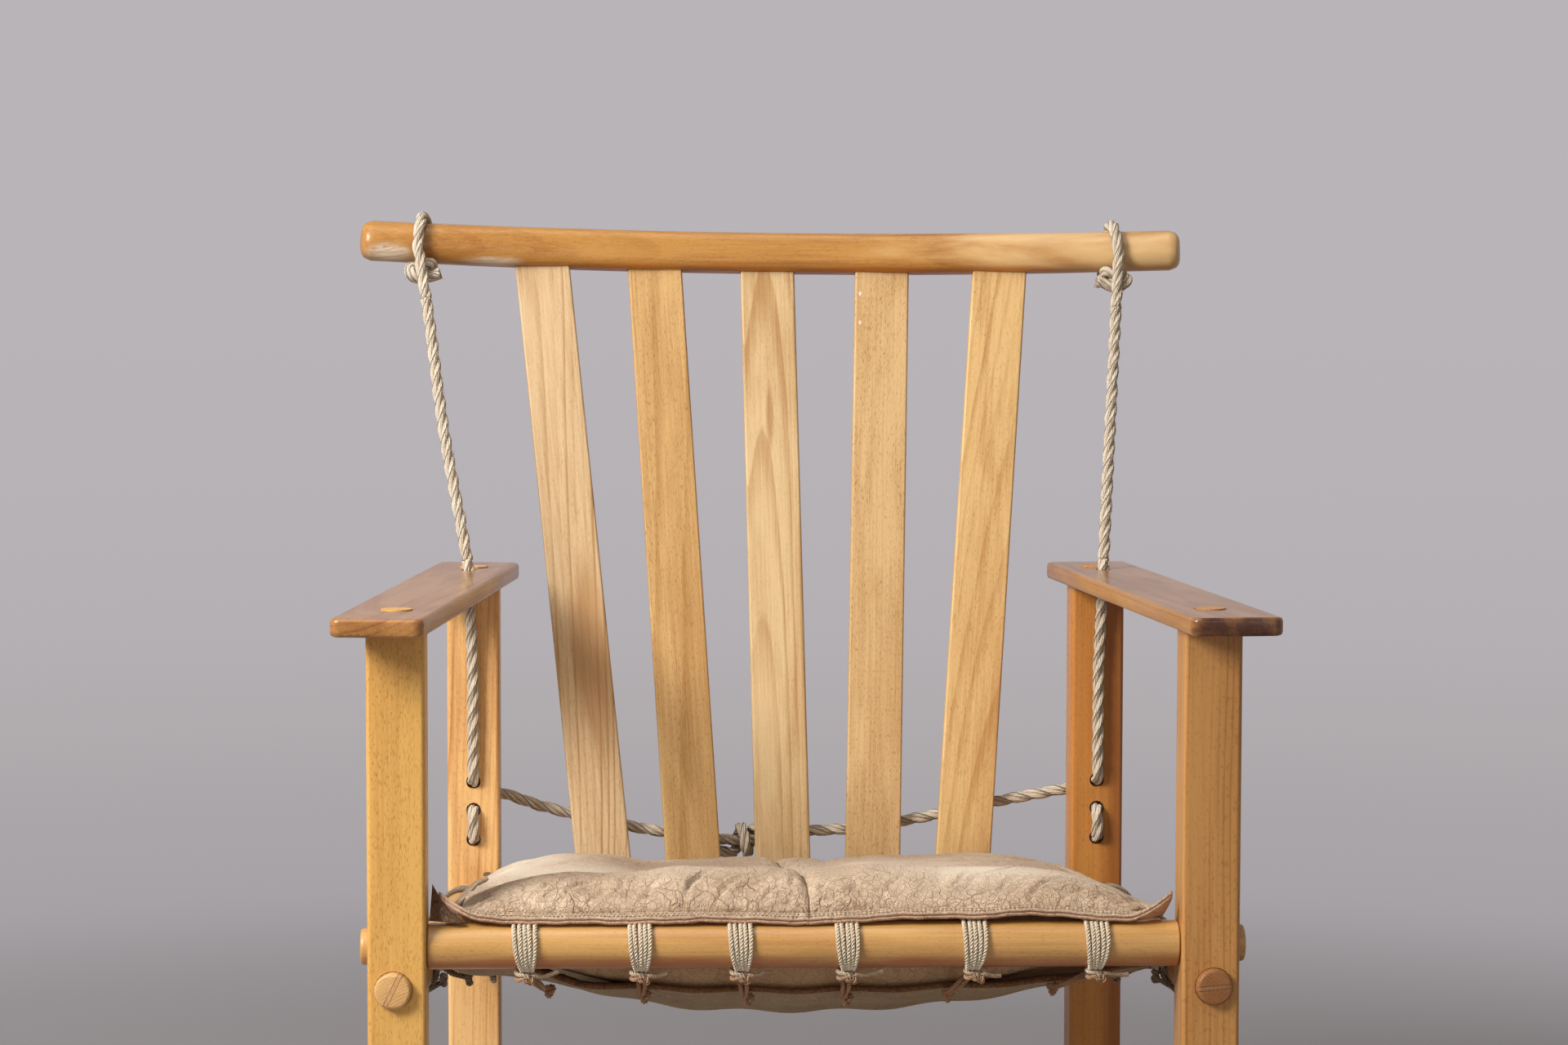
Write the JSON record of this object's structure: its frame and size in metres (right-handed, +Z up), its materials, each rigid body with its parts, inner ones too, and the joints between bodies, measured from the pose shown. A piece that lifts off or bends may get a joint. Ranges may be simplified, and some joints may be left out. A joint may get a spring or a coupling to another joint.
{
  "type": "rope-back armchair",
  "caption": "Wooden armchair with flat armrests, a fanned slat back that tips on ropes, and a laced leather sling seat with a leather cushion.",
  "frame": {"origin": "on the floor under the middle of the chair's outline", "axes": "+Z up, -Y the way the sitter faces, +X to the right in the front view"},
  "size_m": [0.716, 0.6014, 0.9458],
  "materials": {
    "frame_wood": "satin lacquered beech",
    "arm_wood": "glossy darkened beech",
    "crest_wood": "satin worn beech",
    "slat_wood": "satin lacquered beech",
    "wedge_wood": "satin",
    "rope": "three-strand natural fibre",
    "lashing_cord": "waxed natural fibre",
    "sling_leather": "matt flesh side",
    "cushion_leather": "matt pebbled"
  },
  "bodies": {
    "frame": {"front_post_left": "frame_wood", "front_post_right": "frame_wood", "rear_post_left": "frame_wood", "rear_post_right": "frame_wood", "armrest_left": "arm_wood", "armrest_right": "arm_wood", "front_rail": "frame_wood", "front_rail_wedge_left": "wedge_wood", "front_rail_wedge_right": "wedge_wood", "side_rail_left": "frame_wood", "side_rail_left_wedge_front": "wedge_wood", "side_rail_left_wedge_rear": "wedge_wood", "side_rail_right": "frame_wood", "side_rail_right_wedge_front": "wedge_wood", "side_rail_right_wedge_rear": "wedge_wood", "seat_sling": "sling_leather", "seat_cushion": "cushion_leather", "lashing_front_1": "lashing_cord", "lashing_front_2": "lashing_cord", "lashing_front_3": "lashing_cord", "lashing_front_4": "lashing_cord", "lashing_front_5": "lashing_cord", "lashing_front_6": "lashing_cord", "lashing_rear_1": "lashing_cord", "lashing_rear_2": "lashing_cord", "lashing_rear_3": "lashing_cord", "lashing_rear_4": "lashing_cord", "lashing_left_1": "lashing_cord", "lashing_left_2": "lashing_cord", "lashing_left_3": "lashing_cord", "lashing_right_1": "lashing_cord", "lashing_right_2": "lashing_cord", "lashing_right_3": "lashing_cord", "rope_left": "rope", "rope_right": "rope", "rope_left_stay": "rope", "rope_right_stay": "rope"},
    "back": {"rear_rail": "frame_wood", "rear_rail_wedge_left": "wedge_wood", "rear_rail_wedge_right": "wedge_wood", "crest_rail": "crest_wood", "slat_1": "slat_wood", "slat_2": "slat_wood", "slat_3": "slat_wood", "slat_4": "slat_wood", "slat_5": "slat_wood", "rope_left_hitch": "rope", "rope_right_hitch": "rope"}
  },
  "joints": [
    {"name": "back_tilt", "type": "hinge", "parent": "frame", "child": "back", "pos_m": [0.00708, 0.16179, 0.331], "axis": [1, 0, 0], "range_deg": [0, 25], "deforming": ["rope_left_stay", "rope_right_stay"]}
  ]
}
